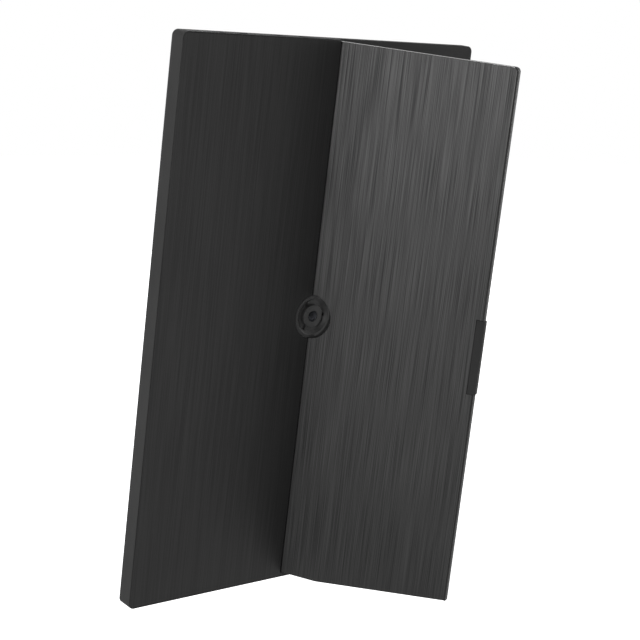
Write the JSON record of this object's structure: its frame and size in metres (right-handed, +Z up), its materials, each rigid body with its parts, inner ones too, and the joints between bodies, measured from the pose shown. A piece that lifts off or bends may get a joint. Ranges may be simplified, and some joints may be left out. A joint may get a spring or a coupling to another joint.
{
  "type": "portable monitor with stand flap",
  "caption": "Slim portable USB monitor whose half-width back flap folds out as a stand and foot, round a tripod socket on the hinge line.",
  "frame": {"origin": "centre of the standing object's bounding box, on the table top", "axes": "+Z up along the monitor's long side as it stands, +Y out of the back on the stand flap's side, -Y out of the screen, +X towards the fixed brushed half of the back"},
  "size_m": [0.2384, 0.1618, 0.3581],
  "materials": {
    "housing_plastic": "fine matte moulded plastic",
    "bezel_plastic": "fine matte moulded plastic",
    "brushed_skin": "dark anodised, hairline-brushed along the long side",
    "foam": "matte closed-cell foam",
    "screen_glass": "anti-glare polariser over glass",
    "film": "translucent white sheet",
    "guide": "clear acrylic with a dotted back",
    "flex": "polyimide flat flex",
    "tray_metal": "pressed aluminium sheet",
    "circuit_board": "green solder mask on glass-fibre laminate",
    "tinned_steel": "tinned sheet steel",
    "socket_steel": "nickel-plated rolled steel",
    "switch_plastic": "black moulded plastic",
    "light_pipe": "frosted clear plastic",
    "screw_steel": "nickel-plated steel",
    "black_screw_steel": "blackened steel",
    "dish_plastic": "fine matte moulded plastic",
    "leaf_steel": "stamped steel",
    "foot_rubber": "matte rubber",
    "flap_plastic": "fine matte moulded plastic",
    "pin_steel": "ground steel",
    "tab_rubber": "matte soft rubber",
    "key_plastic": "satin moulded plastic"
  },
  "bodies": {
    "monitor_body": {"rear_housing": "housing_plastic", "front_bezel": "bezel_plastic", "back_panel": "brushed_skin", "panel_gasket": "foam", "lcd_cell": "screen_glass", "diffuser_films": "film", "light_guide": "guide", "reflector_sheet": "film", "led_bar": "flex", "lcd_tray": "tray_metal", "driver_board": "circuit_board", "panel_cable": "flex", "mainboard": "circuit_board", "shield_can": "tinned_steel", "usb_c_sockets": "socket_steel", "key_board": "circuit_board", "tact_switches": "switch_plastic", "status_light": "light_pipe", "board_screws": "screw_steel", "bezel_screws": "black_screw_steel", "socket_dish": "dish_plastic", "tripod_insert": "black_screw_steel", "socket_screws": "screw_steel", "fixed_leaves": "leaf_steel", "leaf_screws": "screw_steel", "edge_feet": "foot_rubber"},
    "stand_flap": {"flap_skin": "brushed_skin", "flap_frame": "flap_plastic", "flap_leaves": "leaf_steel", "hinge_pins": "pin_steel", "flap_screws": "screw_steel", "edge_tab": "tab_rubber"},
    "menu_key": {"menu_key": "key_plastic"},
    "power_key": {"power_key": "key_plastic"}
  },
  "joints": [
    {"name": "flap_hinge", "type": "hinge", "parent": "monitor_body", "child": "stand_flap", "pos_m": [-0.00245, -0.04634, 0.17855], "axis": [0, -0.1392, -0.9903], "range_deg": [-62, 28]},
    {"name": "menu_key_press", "type": "slide", "parent": "monitor_body", "child": "menu_key", "axis": [0, -0.1392, -0.9903], "range_m": [0, 0.0005], "stiffness_N_per_m": 1500, "springref_m": -0.0005},
    {"name": "power_key_press", "type": "slide", "parent": "monitor_body", "child": "power_key", "axis": [0, -0.1392, -0.9903], "range_m": [0, 0.0005], "stiffness_N_per_m": 1500, "springref_m": -0.0005}
  ]
}
